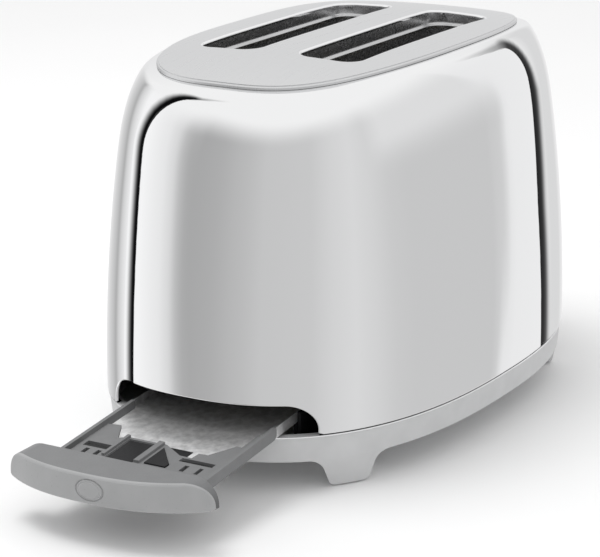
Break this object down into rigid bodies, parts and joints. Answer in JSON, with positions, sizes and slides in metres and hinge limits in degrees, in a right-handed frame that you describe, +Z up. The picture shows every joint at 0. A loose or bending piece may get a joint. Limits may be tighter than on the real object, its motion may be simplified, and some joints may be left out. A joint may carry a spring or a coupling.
{
  "type": "two-slice toaster",
  "caption": "Toaster with a polished oval shell, two bread slots, a sliding lever, a browning dial and a crumb tray that pulls out of one end.",
  "frame": {"origin": "on the table, under the middle of the body, midway between the four feet", "axes": "+X along the bread slots towards the lever end, -X towards the crumb tray, -Y towards the broad side with the plain panel, +Z up"},
  "size_m": [0.4053, 0.19, 0.1975],
  "materials": {
    "badge_plastic": "satin",
    "black_knob": "satin black",
    "black_trim": "matt black",
    "board_laminate": "printed board",
    "brushed_plate": "fine brushing along the slots",
    "copper_winding": "lacquered copper",
    "dark_liner": "dark satin sheet",
    "galvanised_sheet": "zinc-coated sheet",
    "grey_plastic": "satin grey moulding",
    "grey_rubber": "matt",
    "magnet_iron": "bare iron",
    "mica_board": "mica sheet",
    "polished_chrome": "mirror polish on drawn sheet",
    "ribbon_alloy": "heating ribbon",
    "silver_plastic": "satin silver lacquer on a moulding",
    "steel_wire": "drawn wire",
    "zinc_screw": "bright zinc"
  },
  "bodies": {
    "housing": {"base_housing": "silver_plastic", "button_bezel": "silver_plastic", "chassis_deck": "galvanised_sheet", "chassis_end_left": "galvanised_sheet", "chassis_end_right": "galvanised_sheet", "control_board": "board_laminate", "cord_gland": "grey_rubber", "cover_screws": "zinc_screw", "crease_strips": "black_trim", "dial_ring": "silver_plastic", "floor_cover": "galvanised_sheet", "foot_pads": "grey_rubber", "guide_rods": "steel_wire", "heat_shield_front": "galvanised_sheet", "heat_shield_rear": "galvanised_sheet", "heater_board_front_inner": "mica_board", "heater_board_front_outer": "mica_board", "heater_board_rear_inner": "mica_board", "heater_board_rear_outer": "mica_board", "heater_ribbon_front_inner": "ribbon_alloy", "heater_ribbon_front_outer": "ribbon_alloy", "heater_ribbon_rear_inner": "ribbon_alloy", "heater_ribbon_rear_outer": "ribbon_alloy", "lever_bezel": "black_trim", "magnet_coil": "copper_winding", "magnet_core": "magnet_iron", "outer_shell": "polished_chrome", "plate_joint": "black_trim", "potentiometer": "grey_plastic", "seam_gasket": "black_trim", "slot_liner_front": "dark_liner", "slot_liner_rear": "dark_liner", "switch_block": "black_trim", "terminal_block": "board_laminate", "top_plate": "brushed_plate", "tray_guides": "black_trim"},
    "tray": {"tray_front": "silver_plastic", "tray_badge": "badge_plastic", "tray_frame": "grey_plastic", "tray_latch": "black_trim", "crumb_pan": "galvanised_sheet"},
    "carriage": {"bread_rack_front": "galvanised_sheet", "bread_rack_rear": "galvanised_sheet", "carriage_bracket": "galvanised_sheet", "lever_arm": "galvanised_sheet", "lever_knob": "black_knob", "armature_plate": "galvanised_sheet", "return_spring": "steel_wire"},
    "browning_dial": {"browning_knob": "black_knob", "knob_shaft": "grey_plastic"},
    "bread_guide_front_outer": {"bread_guide_front_outer": "steel_wire"},
    "bread_guide_front_inner": {"bread_guide_front_inner": "steel_wire"},
    "bread_guide_rear_inner": {"bread_guide_rear_inner": "steel_wire"},
    "bread_guide_rear_outer": {"bread_guide_rear_outer": "steel_wire"},
    "push_button_left": {"push_button_left": "black_knob"},
    "push_button_middle": {"push_button_middle": "black_knob"},
    "push_button_right": {"push_button_right": "black_knob"}
  },
  "joints": [
    {"name": "tray_slide", "type": "slide", "parent": "housing", "child": "tray", "axis": [-0.9945, 0, -0.1045], "range_m": [-0.0875, 0.03]},
    {"name": "lever_slide", "type": "slide", "parent": "housing", "child": "carriage", "axis": [0, 0, -1], "range_m": [0, 0.055], "stiffness_N_per_m": 60, "springref_m": -0.05, "deforming": ["return_spring"]},
    {"name": "bread_guide_slide_front_outer", "type": "slide", "parent": "housing", "child": "bread_guide_front_outer", "axis": [0, 1, 0], "range_m": [0, 0.005]},
    {"name": "bread_guide_slide_front_inner", "type": "slide", "parent": "housing", "child": "bread_guide_front_inner", "axis": [0, -1, 0], "range_m": [0, 0.005]},
    {"name": "bread_guide_slide_rear_inner", "type": "slide", "parent": "housing", "child": "bread_guide_rear_inner", "axis": [0, 1, 0], "range_m": [0, 0.005]},
    {"name": "bread_guide_slide_rear_outer", "type": "slide", "parent": "housing", "child": "bread_guide_rear_outer", "axis": [0, -1, 0], "range_m": [0, 0.005]},
    {"name": "browning_turn", "type": "hinge", "parent": "housing", "child": "browning_dial", "pos_m": [0.15, 0, 0.058], "axis": [1, 0, 0], "range_deg": [-135, 135]},
    {"name": "button_press_left", "type": "slide", "parent": "housing", "child": "push_button_left", "axis": [-1, 0, 0], "range_m": [0, 0.002], "stiffness_N_per_m": 200, "springref_m": -0.002},
    {"name": "button_press_middle", "type": "slide", "parent": "housing", "child": "push_button_middle", "axis": [-1, 0, 0], "range_m": [0, 0.002], "stiffness_N_per_m": 200, "springref_m": -0.002},
    {"name": "button_press_right", "type": "slide", "parent": "housing", "child": "push_button_right", "axis": [-1, 0, 0], "range_m": [0, 0.002], "stiffness_N_per_m": 200, "springref_m": -0.002}
  ],
  "couplings": [
    {"joint": "bread_guide_slide_front_outer", "follows": "lever_slide", "ratio": 0.0909},
    {"joint": "bread_guide_slide_front_inner", "follows": "lever_slide", "ratio": 0.0909},
    {"joint": "bread_guide_slide_rear_inner", "follows": "lever_slide", "ratio": 0.0909},
    {"joint": "bread_guide_slide_rear_outer", "follows": "lever_slide", "ratio": 0.0909}
  ]
}
